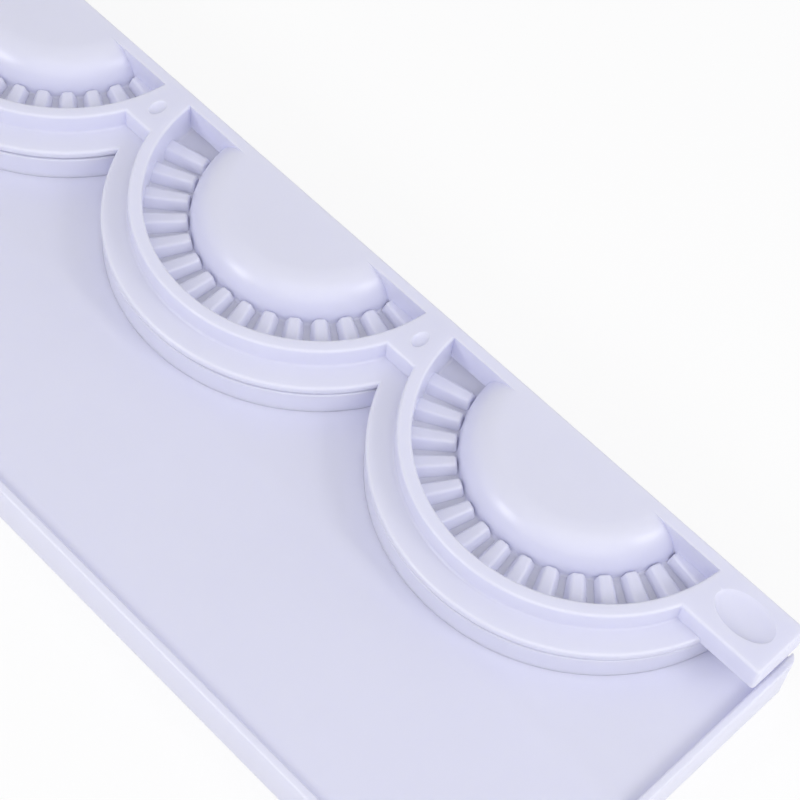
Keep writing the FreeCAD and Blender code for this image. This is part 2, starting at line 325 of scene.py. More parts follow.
def rounded(corners: Sequence[Triple], steps: int = 5) -> list[Pair]:
    """Round the corners of a closed outline.

    Args:
        corners: (x, z, radius) each, in order; a radius of 0 keeps the corner.
        steps: facets in each rounding.

    Returns:
        The outline's points.
    """
    points: list[Pair] = []
    for index, (x, z, radius) in enumerate(corners):
        here = Vector((x, z))
        if radius == 0:
            points.append((x, z))
            continue
        back = (Vector(corners[index - 1][:2]) - here).normalized()
        ahead = (Vector(corners[(index + 1) % len(corners)][:2]) - here).normalized()
        half = back.angle(ahead) / 2
        centre = here + (back + ahead).normalized() * (radius / math.sin(half))
        start = here + back * (radius / math.tan(half)) - centre
        end = here + ahead * (radius / math.tan(half)) - centre
        turn = start.angle_signed(end)
        for step in range(steps + 1):
            points.append(tuple(centre + Matrix.Rotation(-turn * step / steps, 2) @ start))
    return points


def half_turned(name: str, outline: Sequence[Pair], centre: Pair, steps: int = 96) -> bpy.types.Object:
    """Spin a closed outline half round an upright axis, to the front.

    Args:
        name: object name.
        outline: (distance from the axis, height) of each point.
        centre: (x, y) of the axis.
        steps: facets in the half turn.

    Returns:
        A closed solid whose straight side faces +Y.
    """
    bpy.ops.mesh.primitive_circle_add(vertices=len(outline), radius=MM, fill_type="NGON")
    obj = bpy.context.object
    obj.name = name
    for vertex, (reach, height) in zip(obj.data.vertices, outline):
        vertex.co = (centre[0] + reach, centre[1], height)
    with editing(obj, Selection.ALL):
        bpy.ops.mesh.spin(steps=steps, angle=math.pi, center=(*centre, 0), axis=(0, 0, 1))
        bpy.ops.mesh.select_all(action="SELECT")
        bpy.ops.mesh.remove_doubles(threshold=WELD)
        bpy.ops.mesh.normals_make_consistent(inside=False)
    return obj


def trimmed(obj: bpy.types.Object, point: Sequence[float], outward: Sequence[float],
            closed: bool) -> bpy.types.Object:
    """Cut off what lies beyond a plane.

    Args:
        obj: the mesh to cut.
        point: a point of the plane.
        outward: direction of what goes.
        closed: whether the cut gets a face.

    Returns:
        The same object.
    """
    with editing(obj, Selection.ALL):
        bpy.ops.mesh.bisect(
            plane_co=point, plane_no=outward, use_fill=closed, clear_outer=True, threshold=1e-7)
    return obj


def mirror(obj: bpy.types.Object) -> None:
    """Turn a mesh over to the other side of X = 0, with its faces outward.

    Args:
        obj: the mesh.
    """
    obj.data.transform(Matrix.Diagonal((-1, 1, 1, 1)))
    with editing(obj, Selection.ALL):
        bpy.ops.mesh.flip_normals()


@dataclass(frozen=True)
class RowLayout:
    """Places that the jaws and the board share, read from the frame, in metres."""

    cells: int
    edge: float
    top: float
    hinge: Pair
    tab_end: float
    pitch: float = 70 * MM
    jaw_height: float = 5.9 * MM
    peg_back: float = 6.2 * MM

    @classmethod
    def of_frame(cls) -> "RowLayout":
        """Read the row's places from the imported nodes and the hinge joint.

        Returns:
            The layout.
        """
        cells = sum(name.startswith("upper_cell_") for name in frame["nodes"])
        corners = [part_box(f"upper_cell_{place + 1}") for place in range(cells)]
        rear_margin = 0.8 * MM
        hinge = frame["joints"][0]["pos_m"]
        return cls(
            cells=cells,
            edge=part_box("base_board")[1].y - rear_margin,
            top=max(high.z for _, high in corners),
            hinge=(hinge[1], hinge[2]),
            tab_end=max(high.x for _, high in corners))

    @property
    def parting(self) -> float:
        """Height of the plane between the jaws."""
        return self.top - self.jaw_height

    @property
    def foot(self) -> float:
        """Height of the recess floor, where the lower jaw stands."""
        return self.parting - self.jaw_height

    def axes(self) -> list[float]:
        """Place of each cell's axis along X."""
        return [(place - (self.cells - 1) / 2) * self.pitch for place in range(self.cells)]

    def hinges(self) -> list[float]:
        """Place of each hinge along X."""
        return [(place - self.cells / 2) * self.pitch for place in range(self.cells + 1)]

    def webs(self) -> list[float]:
        """Place of each web between two cells along X."""
        return self.hinges()[1:-1]

    def nodes(self, stem: str) -> list[str]:
        """Names of a jaw's CAD nodes, one for each cell."""
        return [f"{stem}_{place + 1}" for place in range(self.cells)]

    def fan(self, pattern: bpy.types.Object, turns: Sequence[float]) -> bpy.types.Object:
        """Copy a shape that lies along +X round a cell's axis.

        Args:
            pattern: the shape, which is used up.
            turns: angle of each copy.

        Returns:
            The copies as one object.
        """
        centre = Matrix.Translation((0, self.edge, 0))
        copies = [copied(pattern, centre @ Matrix.Rotation(turn, 4, "Z")) for turn in turns]
        bpy.data.objects.remove(pattern)
        return joined(copies)

    def repeat(self, sides: dict[Side, bpy.types.Object], name: str) -> bpy.types.Object:
        """Make a whole jaw of cells whose right half is finished up to its end.

        A half is cut at the cell's axis, and for inner sides at the middle of the web, copied along the row,
        mirrored for left halves, and welded.

        Args:
            sides: a closed cell on X = 0 for the right halves and one for the left halves, which are used up.
            name: name of the jaw.

        Returns:
            The jaw, one closed mesh.
        """
        halves = []
        for side, cell in sides.items():
            end = trimmed(cell, (0, 0, 0), (-1, 0, 0), closed=False)
            inner = trimmed(copied(end, Matrix()), (self.pitch / 2, 0, 0), (1, 0, 0), closed=False)
            last = self.axes()[-1] * side.value
            for axis in self.axes():
                half = copied(end if axis == last else inner, Matrix())
                if side is Side.LEFT:
                    mirror(half)
                half.data.transform(Matrix.Translation((axis, 0, 0)))
                halves.append(half)
            for pattern in (end, inner):
                bpy.data.objects.remove(pattern)
        jaw = joined(halves)
        jaw.name = name
        with editing(jaw, Selection.ALL):
            bpy.ops.mesh.remove_doubles(threshold=WELD / 2)
        return jaw


@dataclass
class HingeSizes:
    """Sizes of the hinge that both jaws share."""

    knuckle: float = 2.2 * MM
    knuckle_half: float = 1.5 * MM
    ear: float = 1.9 * MM
    play: float = 0.3 * MM
    pin: float = 1.0 * MM
    pin_play: float = 0.05 * MM

    @property
    def ear_start(self) -> float:
        """Near face of an ear, from the middle of its hinge."""
        return self.knuckle_half + self.play

    @property
    def ear_end(self) -> float:
        """Far face of an ear, from the middle of its hinge."""
        return self.ear_start + self.ear

    @property
    def sweep(self) -> float:
        """Room that a turning knuckle needs."""
        return self.knuckle + self.play


@dataclass(frozen=True)
class Finish:
    """A built material and the record's slot that it stands for."""

    slot: str
    material: bpy.types.Material


@dataclass
class SubAssembly:
    """What every sub-assembly has: its place in the row, its finish and the body that it rides on."""

    row: RowLayout
    finish: Finish
    body: ClassVar[str] = "base"

    def dress(self, obj: bpy.types.Object, nodes: Sequence[str]) -> None:
        """Give a finished piece its material, its body and the nodes that it stands for.

        Args:
            obj: the piece.
            nodes: the CAD nodes that it replaces.
        """
        obj.data.materials.clear()
        obj.data.materials.append(self.finish.material)
        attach(obj, self.body)
        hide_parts(*nodes)
        LOG.info("%s: %d faces, stands for %s", obj.name, len(obj.data.polygons), ", ".join(nodes))


@dataclass
class UpperJaw(SubAssembly):
    """Upper jaw: a row of half domes in pleated grooves, with webs, end tabs and hinge ears."""

    hinge: HingeSizes
    body: ClassVar[str] = "upper_jaw"
    wall: float = 1.6 * MM
    dome_base: float = 22.8 * MM
    shoulder: float = 7.0 * MM
    dome_foot: float = 0.7 * MM
    hollow_roof: float = 18.3 * MM
    arch: float = 17.0 * MM
    rim_inner: float = 31.4 * MM
    rim_width: float = 2.6 * MM
    rim_round: float = 0.55 * MM
    flange_width: float = 5.0 * MM
    flange_round: float = 0.6 * MM
    groove_round: float = 0.6 * MM
    floor_drop: float = 1.3 * MM
    floor_wall: float = 0.7 * MM
    spine_depth: float = 12.4 * MM
    spine_round: float = 0.6 * MM
    bar_width: float = 2.5 * MM
    bar_round: float = 0.5 * MM
    flush: float = 0.02 * MM
    pleats: int = 16
    pleat_tip: float = 23.2 * MM
    pleat_width: float = 1.9 * MM
    pleat_draft: float = 0.9 * MM
    pleat_end: float = 0.4 * MM
    pleat_height: float = 2.2 * MM
    pleat_round: float = 0.5 * MM
    pleat_root: float = 0.2 * MM
    pleat_spread: float = 1.35
    pleat_turn: float = math.radians(0.7)
    dimple_back: float = 7.0 * MM
    dimple: Triple = (1.5 * MM, 2.5 * MM, 1.2 * MM)
    dimple_lift: float = 0.6 * MM
    scoop_back: float = 5.2 * MM
    scoop: Triple = (6.6 * MM, 4.6 * MM, 1.8 * MM)
    scoop_lift: float = 0.8 * MM
    dent_tilt: float = math.radians(12)

    @property
    def floor(self) -> float:
        """Height of the groove floor."""
        return self.row.parting - self.floor_drop

    @property
    def rim_outer(self) -> float:
        """Outer radius of the rim."""
        return self.rim_inner + self.rim_width

    @property
    def band(self) -> float:
        """Outer radius of what hangs below the parting plane."""
        return self.rim_inner + self.rim_width / 2

    def dome_profile(self, steps: int = 14) -> list[Pair]:
        """Shoulder of the dome, an arc from the flat roof down to the foot.

        Args:
            steps: facets along the arc.

        Returns:
            (distance, height) points from the roof to the groove floor.
        """
        rise = self.row.top - self.floor
        lean = math.asin((self.shoulder - rise) / self.shoulder)
        centre = self.dome_base - self.shoulder * math.cos(lean)
        points = []
        for step in range(steps + 1):
            angle = math.pi / 2 + (lean - math.pi / 2) * step / steps
            points.append((centre + self.shoulder * math.cos(angle),
                           self.row.top - self.shoulder + self.shoulder * math.sin(angle)))
        return points

    def cup_outline(self) -> list[Pair]:
        """Draw a cell's section: dome, groove, rim, flange and the hollow below.

        Returns:
            (distance, height) points of the closed outline.
        """
        top, parting = self.row.top, self.row.parting
        flange_outer = self.rim_outer + self.flange_width
        under = self.floor - self.floor_wall
        shoulder = [(x, z, 0) for x, z in self.dome_profile()[:-1]]
        return rounded([
            (0, top, 0),
            *shoulder,
            (self.dome_base, self.floor, self.dome_foot),
            (self.rim_inner, self.floor, self.groove_round),
            (self.rim_inner, top, self.rim_round),
            (self.rim_outer, top, self.rim_round),
            (self.rim_outer, parting + self.wall, self.groove_round),
            (flange_outer, parting + self.wall, self.flange_round),
            (flange_outer, parting, self.flange_round / 2),
            (self.band, parting, 0),
            (self.band, under, self.flange_round / 2),
            (self.dome_base - self.wall, under, self.flange_round / 2),
            (self.hollow_roof, top - self.wall, self.groove_round),
            (0, top - self.wall, 0),
        ])

    @property
    def pleat_step(self) -> float:
        """Angle between two pleats."""
        return math.pi / self.pleats

    def pleat(self) -> bpy.types.Object:
        """Model one pleat along +X, a ridge that widens outward, with drafted sides and soft edges.

        Returns:
            The pleat, a little longer and deeper than what shows of it.
        """
        inner, outer = self.pleat_tip - self.pleat_end, self.rim_inner + self.pleat_root
        foot, ridge = self.floor - self.pleat_root, self.floor + self.pleat_height
        half = self.pleat_width / 2 + self.pleat_draft
        obj = block("pleat", (inner, -half, foot), (outer, half, ridge))
        with editing(obj) as mesh:
            pick_edges(mesh, lambda middle, run: middle.z > ridge - self.flush)
            bpy.ops.transform.resize(value=(1, self.pleat_width / 2 / half, 1))
        with editing(obj) as mesh:
            pick_edges(mesh, lambda middle, run: middle.x > self.rim_inner)
            bpy.ops.transform.resize(value=(1, self.pleat_spread, 1))
        with editing(obj) as mesh:
            pick_edges(mesh, lambda middle, run: abs(run.y) > ALONG and middle.z > self.floor
                       and middle.x < self.pleat_tip)
            bpy.ops.transform.translate(value=(self.pleat_end, 0, 0))
        with editing(obj) as mesh:
            pick_edges(mesh, lambda middle, run: middle.z > foot and middle.x < self.rim_inner)
            round_off(self.pleat_round, 3)
        return obj

    def cup(self, side: Side) -> bpy.types.Object:
        """Model a cell's dome, groove, rim and flange, with its fan of pleats.

        Args:
            side: the half that the cell is for; only the right one has a pleat against the bar.

        Returns:
            The cup, on X = 0.
        """
        cup = half_turned("cup", self.cup_outline(), (0, self.row.edge))
        trimmed(cup, (0, self.row.edge - self.spine_round - self.flush, 0), (0, 1, 0), closed=True)
        last = self.pleats if side is Side.RIGHT else self.pleats - 1
        start = math.pi - side.value * self.pleat_turn
        turns = [start + (place + 0.5) * self.pleat_step for place in range(1, last)]
        work(cup, self.row.fan(self.pleat(), turns), Fusing.ADD)
        return cup

    def spine(self) -> bpy.types.Object:
        """Model a cell's stretch of the straight bar, with webs or tabs, cut clear for the cup.

        Returns:
            The bar, on X = 0.
        """
        row, axis = self.row, self.row.axes()[-1]
        reach, front = row.tab_end - axis, row.edge - self.bar_width
        obj = block("spine", (-reach, row.edge - self.spine_depth, row.parting + self.flush),
                    (reach, row.edge, row.top - self.flush))
        with editing(obj, Selection.ALL):
            round_off(self.spine_round, 4)
        clearing = drum("clearing", (0, row.edge), self.band, row.parting - self.wall, row.top + self.wall)
        work(obj, trimmed(clearing, (0, front, 0), (0, 1, 0), closed=True), Fusing.CUT)
        with editing(obj) as mesh:
            pick_edges(mesh, lambda middle, run: abs(run.x) > ALONG and abs(middle.y - front) < self.flush
                       and middle.z > row.top - self.bar_round)
            round_off(self.bar_round, 4)
        arch = drum("arch", (0, row.edge), self.arch, row.parting - self.wall, row.top - self.wall)
        work(obj, arch, Fusing.CUT)
        return obj

    def add_ears(self, obj: bpy.types.Object) -> None:
        """Notch the bar at the right hinge for the knuckle below, and add two bored ears.

        Args:
            obj: the cell, on X = 0.
        """
        sizes, (hinge_y, hinge_z), x = self.hinge, self.row.hinge, self.row.pitch / 2
        notch = block("notch", (x - sizes.ear_start, hinge_y - sizes.sweep, hinge_z - sizes.sweep),
                      (x + sizes.ear_start, hinge_y + sizes.sweep, hinge_z + sizes.sweep))
        work(obj, notch, Fusing.CUT)
        for start in (x - sizes.ear_end, x + sizes.ear_start):
            work(obj, rod("ear", start, start + sizes.ear, self.row.hinge, sizes.knuckle), Fusing.ADD)
        bore = rod("bore", x - sizes.ear_end - sizes.play, x + sizes.ear_end + sizes.play,
                   self.row.hinge, sizes.pin + sizes.pin_play)
        work(obj, bore, Fusing.CUT)

    def press_dents(self, obj: bpy.types.Object) -> None:
        """Press a dimple in each web and a finger scoop in each end tab.

        Args:
            obj: the whole jaw.
        """
        row = self.row
        dimple_y, dimple_z = row.edge - self.dimple_back, row.top + self.dimple_lift
        scoop_y, scoop_z = row.edge - self.scoop_back, row.top + self.scoop_lift
        dents = [pebble("dimple", (web, dimple_y, dimple_z), self.dimple, self.dent_tilt) for web in row.webs()]
        for side in Side:
            middle = side.value * (row.axes()[-1] + self.rim_inner + row.tab_end) / 2
            dents.append(pebble("scoop", (middle, scoop_y, scoop_z), self.scoop, self.dent_tilt))
        work(obj, joined(dents), Fusing.CUT)

    def cell(self, side: Side) -> bpy.types.Object:
        """Model a cell that is finished to its right end.

        Args:
            side: the half that the cell is for.

        Returns:
            The cell, on X = 0.
        """
        cell = self.spine()
        work(cell, self.cup(side), Fusing.ADD)
        self.add_ears(cell)
        return cell

    def build(self) -> None:
        """Model the whole jaw as one moulding and dress it."""
        jaw = self.row.repeat({side: self.cell(side) for side in Side}, "upper_jaw_shell")
        self.press_dents(jaw)
        smooth(jaw)
        self.dress(jaw, self.row.nodes("upper_cell"))


@dataclass
class LowerJaw(SubAssembly):
    """Lower jaw: a row of half bowls with crimping troughs, toothed rims and hinge knuckles."""

    hinge: HingeSizes
    wall: float = 1.6 * MM
    gap: float = 0.8 * MM
    outer: float = 38.8 * MM
    trough: float = 33.1 * MM
    bowl: float = 21.2 * MM
    trough_drop: float = 2.4 * MM
    bowl_round: float = 1.2 * MM
    edge_round: float = 0.3 * MM
    overhang: float = 5.0 * MM
    spine_depth: float = 8.0 * MM
    flush: float = 0.02 * MM
    teeth_inner: float = 34.3 * MM
    notches: int = 12
    notch_width: float = 3.2 * MM
    notch_depth: float = 0.9 * MM
    notch_margin: float = 1.2 * MM
    notch_step: float = math.radians(10)
    peg: Pair = (5.0 * MM, 3.0 * MM)
    peg_depth: float = 2.0 * MM

    @property
    def crest(self) -> float:
        """Height of the toothed rim."""
        return self.row.parting - self.gap

    def bowl_shell(self) -> bpy.types.Object:
        """Model a cell's half bowl with its trough and toothed rim.

        Returns:
            The bowl, on X = 0.
        """
        floor = self.row.foot + self.wall
        trough_floor = self.row.parting - self.trough_drop
        obj = half_turned("bowl", rounded([
            (0, floor, 0),
            (self.bowl - (trough_floor - floor), floor, self.bowl_round),
            (self.bowl, trough_floor, self.edge_round),
            (self.trough, trough_floor, self.edge_round),
            (self.trough, self.crest, self.edge_round),
            (self.outer, self.crest, self.edge_round),
            (self.outer, self.row.foot, 0),
            (0, self.row.foot, 0),
        ]), (0, self.row.edge))
        front = 1.5 * math.pi
        first = front - (self.notches - 1) / 2 * self.notch_step
        notch = block("notch", (self.teeth_inner, -self.notch_width / 2, self.crest - self.notch_depth),
                      (self.outer - self.notch_margin, self.notch_width / 2, self.row.parting))
        turns = [first + place * self.notch_step for place in range(self.notches)]
        work(obj, self.row.fan(notch, turns), Fusing.CUT)
        return obj

    def spine(self) -> bpy.types.Object:
        """Model a cell's stretch of the webs along the straight edge, cut clear for the bowl.

        Returns:
            The webs, on X = 0.
        """
        row = self.row
        reach = row.pitch / 2 + self.overhang
        obj = block("spine", (-reach, row.edge - self.spine_depth, row.foot + self.flush),
                    (reach, row.edge - self.flush, self.crest - self.flush))
        with editing(obj) as mesh:
            pick_edges(mesh, lambda middle, run: middle.z > row.foot + self.edge_round)
            round_off(self.edge_round, 3)
        clearing = drum("clearing", (0, row.edge), (self.trough + self.outer) / 2,
                        row.foot - self.wall, row.parting)
        work(obj, clearing, Fusing.CUT)
        return obj

    def add_knuckle(self, obj: bpy.types.Object) -> None:
        """Notch the right hinge for the ears above, and add a bored knuckle.

        Args:
            obj: the cell, on X = 0.
        """
        sizes, (hinge_y, hinge_z), x = self.hinge, self.row.hinge, self.row.pitch / 2
        for start in (x - sizes.ear_end - sizes.play, x + sizes.knuckle_half):
            notch = block("notch", (start, hinge_y - sizes.sweep, hinge_z - sizes.sweep),
                          (start + sizes.ear + 2 * sizes.play, hinge_y + sizes.sweep, hinge_z))
            work(obj, notch, Fusing.CUT)
        ends = x - sizes.knuckle_half, x + sizes.knuckle_half
        work(obj, rod("knuckle", *ends, self.row.hinge, sizes.knuckle), Fusing.ADD)
        bore = rod("bore", x - sizes.ear_end, x + sizes.ear_end, self.row.hinge, sizes.pin + self.flush)
        work(obj, bore, Fusing.CUT)

    def add_peg(self, obj: bpy.types.Object) -> None:
        """Add the peg that holds the cell in the board.

        Args:
            obj: the cell, on X = 0.
        """
        (length, width), middle = self.peg, self.row.edge - self.row.peg_back
        peg = block("peg", (-length / 2, middle - width / 2, self.row.foot - self.peg_depth),
                    (length / 2, middle + width / 2, self.row.foot + self.wall / 2))
        work(obj, peg, Fusing.ADD)

    def build(self) -> None:
        """Model the whole jaw as one moulding and dress it."""
        cell = self.spine()
        work(cell, self.bowl_shell(), Fusing.ADD)
        self.add_knuckle(cell)
        self.add_peg(cell)
        jaw = self.row.repeat({Side.RIGHT: cell, Side.LEFT: copied(cell, Matrix())}, "lower_jaw_shell")
        smooth(jaw)
        self.dress(jaw, self.row.nodes("lower_cell"))


@dataclass
class Board(SubAssembly):
    """Wide board with a lip on three sides, a recess for the jaws and stiffening ribs below."""

    lip_width: float = 1.6 * MM
    lip_height: float = 1.2 * MM
    recess_depth: float = 1.0 * MM
    recess_front: float = 40.4 * MM
    ramp_ahead: float = 2.4 * MM
    ramp_behind: float = 1.2 * MM
    corner: float = 3.0 * MM
    edge_round: float = 0.45 * MM
    plate: float = 2.0 * MM
    skirt: float = 2.0 * MM
    rib_width: float = 1.4 * MM
    rib_lift: float = 1.0 * MM
    rib_round: float = 0.25 * MM
    peg_hole: Pair = (5.2 * MM, 3.2 * MM)
    low: Vector = field(default_factory=lambda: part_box("base_board")[0])
    high: Vector = field(default_factory=lambda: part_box("base_board")[1])

    def round_front(self, obj: bpy.types.Object, radius: float) -> None:
        """Round the two upright front corners of a block.

        Args:
            obj: the block.
            radius: radius of the corners.
        """
        with editing(obj) as mesh:
            pick_edges(mesh, lambda middle, run: abs(run.z) > ALONG and middle.y < 0)
            round_off(radius, 8)

    def round_back(self, obj: bpy.types.Object) -> None:
        """Round the two upright back corners of the board.

        Args:
            obj: the board.
        """
        low, high, size = self.low, self.high, self.corner
        for side in Side:
            x = side.value * (high.x - size)
            past = side.value * (high.x + size)
            corner = block("corner", (min(x, past), high.y - size, low.z - size),
                           (max(x, past), high.y + size, high.z + size))
            kept = drum("round", (x, high.y - size), size, low.z - 2 * size, high.z + 2 * size)
            work(corner, kept, Fusing.CUT)
            work(obj, corner, Fusing.CUT)

    def slope_step(self, obj: bpy.types.Object, top: float) -> None:
        """Lean the front step of the recess, so that it is a soft ramp.

        Args:
            obj: the board.
            top: height of the board's top face.
        """
        step = self.row.edge - self.recess_front
        for height, move in ((top, -self.ramp_ahead), (top - self.recess_depth, self.ramp_behind)):
            with editing(obj) as mesh:
                pick_edges(mesh, lambda middle, run: abs(run.x) > ALONG
                           and abs(middle.y - step) < self.edge_round
                           and abs(middle.z - height) < self.edge_round)
                bpy.ops.transform.translate(value=(0, move, 0))

    def stiffen(self, obj: bpy.types.Object) -> None:
        """Add the cross ribs and the long rib under the board.

        Args:
            obj: the board.
        """
        row, low, high = self.row, self.low, self.high
        foot, top, lap = low.z + self.rib_lift, row.foot - self.plate / 2, self.skirt / 2
        middle = (low.y + high.y) / 2
        ribs = [block("long_rib", (low.x + lap, middle, foot), (high.x - lap, middle + self.rib_width, top))]
        for x in [axis + sign * row.pitch / 4 for axis in row.axes() for sign in (-1, 1)]:
            ribs.append(block("cross_rib", (x - self.rib_width / 2, low.y + lap, foot),
                              (x + self.rib_width / 2, high.y - lap, top)))
        for rib in ribs:
            soften(rib, self.rib_round)
            work(obj, rib, Fusing.ADD)

    def build(self) -> None:
        """Model the board as one moulding and dress it."""
        row, low, high = self.row, self.low, self.high
        top = high.z - self.lip_height
        past = self.corner
        obj = block("board_shell", low, high)
        self.round_front(obj, self.corner)
        well = block("well", (low.x + self.lip_width, low.y + self.lip_width, top),
                     (high.x - self.lip_width, high.y + past, high.z + past))
        self.round_front(well, self.corner - self.lip_width)
        work(obj, well, Fusing.CUT)
        step = row.edge - self.recess_front
        recess = block("recess", (low.x + self.lip_width, step, top - self.recess_depth),
                       (high.x - self.lip_width, high.y + past, top + past))
        work(obj, recess, Fusing.CUT)
        self.slope_step(obj, top)
        cavity = block("cavity", (low.x + self.skirt, low.y + self.skirt, low.z - past),
                       (high.x - self.skirt, high.y - self.skirt, row.foot - self.plate))
        work(obj, cavity, Fusing.CUT)
        soften(obj, self.edge_round)
        self.round_back(obj)
        self.stiffen(obj)
        (length, width), back = self.peg_hole, row.edge - row.peg_back
        for axis in row.axes():
            hole = block("peg_hole", (axis - length / 2, back - width / 2, low.z),
                         (axis + length / 2, back + width / 2, high.z))
            work(obj, hole, Fusing.CUT)
        smooth(obj)
        self.dress(obj, ["base_board"])


@dataclass
class HingePins(SubAssembly):
    """Short steel pins with broken ends, one at each hinge."""

    hinge: HingeSizes
    chamfer: float = 0.2 * MM

    def build(self) -> None:
        """Model one pin, set a copy at every hinge and dress each."""
        pattern = rod("pin", -self.hinge.ear_end, self.hinge.ear_end, self.row.hinge, self.hinge.pin)
        with editing(pattern) as mesh:
            pick_edges(mesh, lambda middle, run: abs(run.x) < ALONG and abs(middle.x) > self.hinge.ear_start)
            round_off(self.chamfer, 2)
        for place, x in enumerate(self.row.hinges()):
            pin = copied(pattern, Matrix.Translation((x, 0, 0)))
            pin.name = f"steel_pin_{place + 1}"
            smooth(pin)
            self.dress(pin, [f"hinge_pin_{place + 1}"])
        bpy.data.objects.remove(pattern)


@dataclass(frozen=True)
class MouldedPlastic:
    """White glossy plastic with faint mottling, flow waves and a fine moulded skin."""

    slot: str = "white_plastic"
    tint: Triple = (0.74, 0.745, 0.90)
    shade: float = 0.97
    roughness: tuple[float, float] = (0.26, 0.36)
    mottle_scale: float = 45.0
    wave_scale: float = 160.0
    grain_scale: float = 2600.0
    wave: Pair = (0.05, 1.0 * MM)
    grain: Pair = (0.03, 0.1 * MM)
    glow: float = 0.5
    glow_depth: float = 2.5 * MM
    glow_spread: Triple = (1.0, 1.0, 1.1)
    bend: float = 1.49

    def noise(self, tree: bpy.types.NodeTree, scale: float, detail: float) -> bpy.types.Node:
        """Add a noise texture on object coordinates.

        Args:
            tree: the material's node tree.
            scale: how fine the noise is.
            detail: how many finer layers it has.

        Returns:
            The noise node.
        """
        place = tree.nodes.new("ShaderNodeTexCoord")
        noise = tree.nodes.new("ShaderNodeTexNoise")
        noise.inputs["Scale"].default_value = scale
        noise.inputs["Detail"].default_value = detail
        tree.links.new(place.outputs["Object"], noise.inputs["Vector"])
        return noise

    def bump(self, tree: bpy.types.NodeTree, scale: float, relief: Pair) -> bpy.types.Node:
        """Add a bump of noise.

        Args:
            tree: the material's node tree.
            scale: how fine the noise is.
            relief: the bump's strength and its depth.

        Returns:
            The bump node.
        """
        bump = tree.nodes.new("ShaderNodeBump")
        bump.inputs["Strength"].default_value, bump.inputs["Distance"].default_value = relief
        tree.links.new(self.noise(tree, scale, 2).outputs["Fac"], bump.inputs["Height"])
        return bump

    def build(self) -> bpy.types.Material:
        """Make the material's node tree.

        Returns:
            The material.
        """
        material = bpy.data.materials.new(self.slot)
        material.use_nodes = True
        tree = material.node_tree
        shader = tree.nodes["Principled BSDF"]
        shader.inputs["IOR"].default_value = self.bend
        shader.inputs["Subsurface Weight"].default_value = self.glow
        shader.inputs["Subsurface Radius"].default_value = self.glow_spread
        shader.inputs["Subsurface Scale"].default_value = self.glow_depth
        mottle = self.noise(tree, self.mottle_scale, 4)
        colour = tree.nodes.new("ShaderNodeMix")
        colour.data_type = "RGBA"
        # The mix node has its sockets once for each data type; these are the factor and the colours.
        share, dark, light, mixed = colour.inputs[0], colour.inputs[6], colour.inputs[7], colour.outputs[2]
        dark.default_value = (*(part * self.shade for part in self.tint), 1)
        light.default_value = (*self.tint, 1)
        tree.links.new(mottle.outputs["Fac"], share)
        tree.links.new(mixed, shader.inputs["Base Color"])
        gloss = tree.nodes.new("ShaderNodeMapRange")
        gloss.inputs["To Min"].default_value, gloss.inputs["To Max"].default_value = self.roughness
        tree.links.new(mottle.outputs["Fac"], gloss.inputs["Value"])
        tree.links.new(gloss.outputs["Result"], shader.inputs["Roughness"])
        wave = self.bump(tree, self.wave_scale, self.wave)
        grain = self.bump(tree, self.grain_scale, self.grain)
        tree.links.new(wave.outputs["Normal"], grain.inputs["Normal"])
        tree.links.new(grain.outputs["Normal"], shader.inputs["Normal"])
        return material


@dataclass(frozen=True)
class DrawnSteel:
    """Bright drawn wire with fine lines along its length."""

    slot: str = "pin_steel"
    tint: Triple = (0.62, 0.61, 0.60)
    roughness: tuple[float, float] = (0.18, 0.4)
    line_scale: Triple = (40.0, 4000.0, 4000.0)
    relief: Pair = (0.1, 0.05 * MM)

    def build(self) -> bpy.types.Material:
        """Make the material's node tree.

        Returns:
            The material.
        """
        material = bpy.data.materials.new(self.slot)
        material.use_nodes = True
        tree = material.node_tree
        shader = tree.nodes["Principled BSDF"]
        shader.inputs["Metallic"].default_value = 1
        shader.inputs["Base Color"].default_value = (*self.tint, 1)
        place = tree.nodes.new("ShaderNodeTexCoord")
        stretch = tree.nodes.new("ShaderNodeMapping")
        stretch.inputs["Scale"].default_value = self.line_scale
        lines = tree.nodes.new("ShaderNodeTexNoise")
        gloss = tree.nodes.new("ShaderNodeMapRange")
        gloss.inputs["To Min"].default_value, gloss.inputs["To Max"].default_value = self.roughness
        bump = tree.nodes.new("ShaderNodeBump")
        bump.inputs["Strength"].default_value, bump.inputs["Distance"].default_value = self.relief
        tree.links.new(place.outputs["Object"], stretch.inputs["Vector"])
        tree.links.new(stretch.outputs["Vector"], lines.inputs["Vector"])
        tree.links.new(lines.outputs["Fac"], gloss.inputs["Value"])
        tree.links.new(gloss.outputs["Result"], shader.inputs["Roughness"])
        tree.links.new(lines.outputs["Fac"], bump.inputs["Height"])
        tree.links.new(bump.outputs["Normal"], shader.inputs["Normal"])
        return material


@dataclass(frozen=True)
class Softbox:
    """A square lamp that faces the object."""

    name: str
    towards: Triple
    size: float
    power: float


